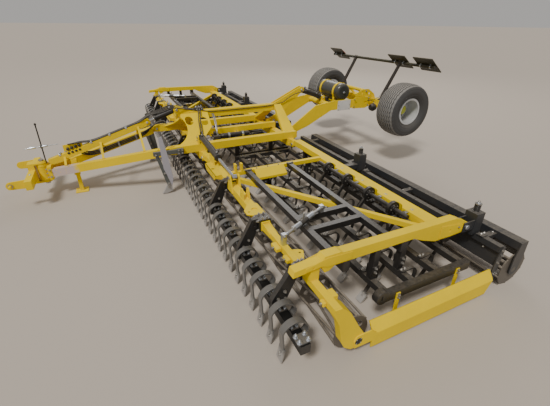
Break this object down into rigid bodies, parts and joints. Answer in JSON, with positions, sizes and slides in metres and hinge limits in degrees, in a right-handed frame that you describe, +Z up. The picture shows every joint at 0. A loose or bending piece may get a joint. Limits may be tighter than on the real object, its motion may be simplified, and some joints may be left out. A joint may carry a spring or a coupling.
{
  "type": "folding seedbed compactor",
  "caption": "Towed folding seedbed compactor, unfolded: raised centre frame with tool wings with looped levelling tines, slanting-bar rollers, spring tines, rear cage rollers, lifting axle.",
  "frame": {"origin": "centre of the bounding box on the ground, with the machine standing unfolded on its rollers", "axes": "+X forward to the hitch, +Y to the machine's left along the working width, +Z up"},
  "size_m": [6.4, 8.3, 1.7719],
  "materials": {
    "yellow_paint": "gloss paint, dusty",
    "black_paint": "satin paint, dusty",
    "worn_steel": "worn, earth-polished",
    "zinc_steel": "zinc plated",
    "chrome": "polished",
    "tyre": "dusty rubber",
    "silver_paint": "silver paint"
  },
  "bodies": {
    "frame": {"centre_spine": "yellow_paint", "centre_side_beam_left": "yellow_paint", "centre_side_beam_right": "yellow_paint", "centre_cross_front": "yellow_paint", "centre_cross_rear": "yellow_paint", "centre_gussets": "yellow_paint", "centre_lower_tube": "yellow_paint", "centre_tines": "black_paint", "track_looseners": "black_paint", "centre_front_tools": "black_paint"},
    "centre_roller": {"centre_roller": "worn_steel"},
    "drawbar": {"drawbar_beam_left": "yellow_paint", "drawbar_beam_right": "yellow_paint", "drawbar_strut": "yellow_paint", "drawbar_head": "yellow_paint"},
    "parking_stand": {"parking_stand": "yellow_paint"},
    "hitch": {"hitch_yoke": "yellow_paint"},
    "top_barrel": {"top_cylinder_barrel": "black_paint"},
    "top_rod": {"top_cylinder_rod": "chrome"},
    "axle": {"axle_arms": "yellow_paint", "axle_beam": "yellow_paint", "air_tank": "black_paint", "light_posts": "black_paint", "light_bar": "black_paint"},
    "axle_barrel": {"axle_cylinder_barrel": "black_paint"},
    "axle_rod": {"axle_cylinder_rod": "chrome"},
    "wheel_left": {"tyre_left": "tyre", "rim_left": "silver_paint"},
    "wheel_right": {"tyre_right": "tyre", "rim_right": "silver_paint"},
    "wing_left": {"wing_front_beam_left": "yellow_paint", "wing_rear_beam_left": "yellow_paint", "wing_outer_beam_left": "yellow_paint", "wing_inner_rail_left": "yellow_paint", "wing_side_plate_left": "yellow_paint", "wing_tine_frame_left": "black_paint", "wing_tines_left": "black_paint", "wing_front_tools_left": "black_paint", "wing_level_tines_left": "black_paint", "wing_rear_frame_left": "black_paint", "wing_turnbuckle_left": "zinc_steel"},
    "front_roller_left": {"front_roller_left": "worn_steel"},
    "rear_roller_left": {"rear_roller_left": "worn_steel"},
    "fold_barrel_left": {"fold_cylinder_left_barrel": "black_paint"},
    "fold_rod_left": {"fold_cylinder_left_rod": "chrome"},
    "wing_right": {"wing_front_beam_right": "yellow_paint", "wing_rear_beam_right": "yellow_paint", "wing_outer_beam_right": "yellow_paint", "wing_inner_rail_right": "yellow_paint", "wing_side_plate_right": "yellow_paint", "wing_tine_frame_right": "black_paint", "wing_tines_right": "black_paint", "wing_front_tools_right": "black_paint", "wing_level_tines_right": "black_paint", "wing_rear_frame_right": "black_paint", "wing_turnbuckle_right": "zinc_steel"},
    "front_roller_right": {"front_roller_right": "worn_steel"},
    "rear_roller_right": {"rear_roller_right": "worn_steel"},
    "fold_barrel_right": {"fold_cylinder_right_barrel": "black_paint"},
    "fold_rod_right": {"fold_cylinder_right_rod": "chrome"}
  },
  "joints": [
    {"name": "drawbar_pitch", "type": "hinge", "parent": "frame", "child": "drawbar", "pos_m": [1.12, 0, 0.615], "axis": [0, -1, 0], "range_deg": [-8, 8]},
    {"name": "hitch_swivel", "type": "hinge", "parent": "drawbar", "child": "hitch", "pos_m": [2.8, 0, 0.35], "axis": [0, 0, 1], "range_deg": [-50, 50]},
    {"name": "stand_slide", "type": "slide", "parent": "drawbar", "child": "parking_stand", "axis": [0, 0, 1], "range_m": [0, 0.25]},
    {"name": "top_barrel_swing", "type": "hinge", "parent": "frame", "child": "top_barrel", "pos_m": [0.85, 0, 1.05], "axis": [0, -1, 0], "range_deg": [-2, 2]},
    {"name": "top_rod_slide", "type": "slide", "parent": "top_barrel", "child": "top_rod", "axis": [0.9507, 0, -0.31], "range_m": [-0.048, 0.048]},
    {"name": "axle_lift", "type": "hinge", "parent": "frame", "child": "axle", "pos_m": [-1.01, 0, 0.6], "axis": [0, -1, 0], "range_deg": [0, 28]},
    {"name": "axle_barrel_swing", "type": "hinge", "parent": "frame", "child": "axle_barrel", "pos_m": [-1.37, 0, 1.2], "axis": [0, -1, 0], "range_deg": [0, 27.5]},
    {"name": "axle_rod_slide", "type": "slide", "parent": "axle_barrel", "child": "axle_rod", "axis": [-0.9426, 0, -0.3338], "range_m": [0, 0.34]},
    {"name": "wheel_left_spin", "type": "hinge", "parent": "axle", "child": "wheel_left", "pos_m": [-2.755, 1.15, 0.95], "axis": [0, 1, 0], "continuous": true},
    {"name": "wheel_right_spin", "type": "hinge", "parent": "axle", "child": "wheel_right", "pos_m": [-2.755, -1.15, 0.95], "axis": [0, 1, 0], "continuous": true},
    {"name": "centre_roller_spin", "type": "hinge", "parent": "frame", "child": "centre_roller", "pos_m": [0.43, 0, 0.165], "axis": [0, 1, 0], "continuous": true},
    {"name": "wing_left_fold", "type": "hinge", "parent": "frame", "child": "wing_left", "pos_m": [0.65, 0.86, 0.52], "axis": [1, 0, 0], "range_deg": [0, 90]},
    {"name": "front_roller_left_spin", "type": "hinge", "parent": "wing_left", "child": "front_roller_left", "pos_m": [0.43, 2.267, 0.165], "axis": [0, 1, 0], "continuous": true},
    {"name": "rear_roller_left_spin", "type": "hinge", "parent": "wing_left", "child": "rear_roller_left", "pos_m": [-1.42, 2.315, 0.19], "axis": [0, 1, 0], "continuous": true},
    {"name": "fold_barrel_left_swing", "type": "hinge", "parent": "frame", "child": "fold_barrel_left", "pos_m": [0.65, 0.64, 0.76], "axis": [1, 0, 0], "range_deg": [0, 91]},
    {"name": "fold_rod_left_slide", "type": "slide", "parent": "fold_barrel_left", "child": "fold_rod_left", "axis": [0, 0.9991, -0.0416], "range_m": [-0.462, 0]},
    {"name": "wing_right_fold", "type": "hinge", "parent": "frame", "child": "wing_right", "pos_m": [0.65, -0.86, 0.52], "axis": [-1, 0, 0], "range_deg": [0, 90]},
    {"name": "front_roller_right_spin", "type": "hinge", "parent": "wing_right", "child": "front_roller_right", "pos_m": [0.43, -2.267, 0.165], "axis": [0, 1, 0], "continuous": true},
    {"name": "rear_roller_right_spin", "type": "hinge", "parent": "wing_right", "child": "rear_roller_right", "pos_m": [-1.42, -2.315, 0.19], "axis": [0, 1, 0], "continuous": true},
    {"name": "fold_barrel_right_swing", "type": "hinge", "parent": "frame", "child": "fold_barrel_right", "pos_m": [0.65, -0.64, 0.76], "axis": [-1, 0, 0], "range_deg": [0, 91]},
    {"name": "fold_rod_right_slide", "type": "slide", "parent": "fold_barrel_right", "child": "fold_rod_right", "axis": [0, -0.9991, -0.0416], "range_m": [-0.462, 0]}
  ],
  "couplings": [
    {"joint": "top_barrel_swing", "follows": "drawbar_pitch", "ratio": 0.18867},
    {"joint": "top_rod_slide", "follows": "drawbar_pitch", "m_per_rad": -0.32948},
    {"joint": "axle_barrel_swing", "follows": "axle_lift", "ratio": 0.96379},
    {"joint": "axle_rod_slide", "follows": "axle_lift", "m_per_rad": 0.69236},
    {"joint": "fold_barrel_left_swing", "follows": "wing_left_fold", "ratio": 1.0005},
    {"joint": "fold_rod_left_slide", "follows": "wing_left_fold", "m_per_rad": -0.29312},
    {"joint": "fold_barrel_right_swing", "follows": "wing_right_fold", "ratio": 1.0005},
    {"joint": "fold_rod_right_slide", "follows": "wing_right_fold", "m_per_rad": -0.29312}
  ]
}
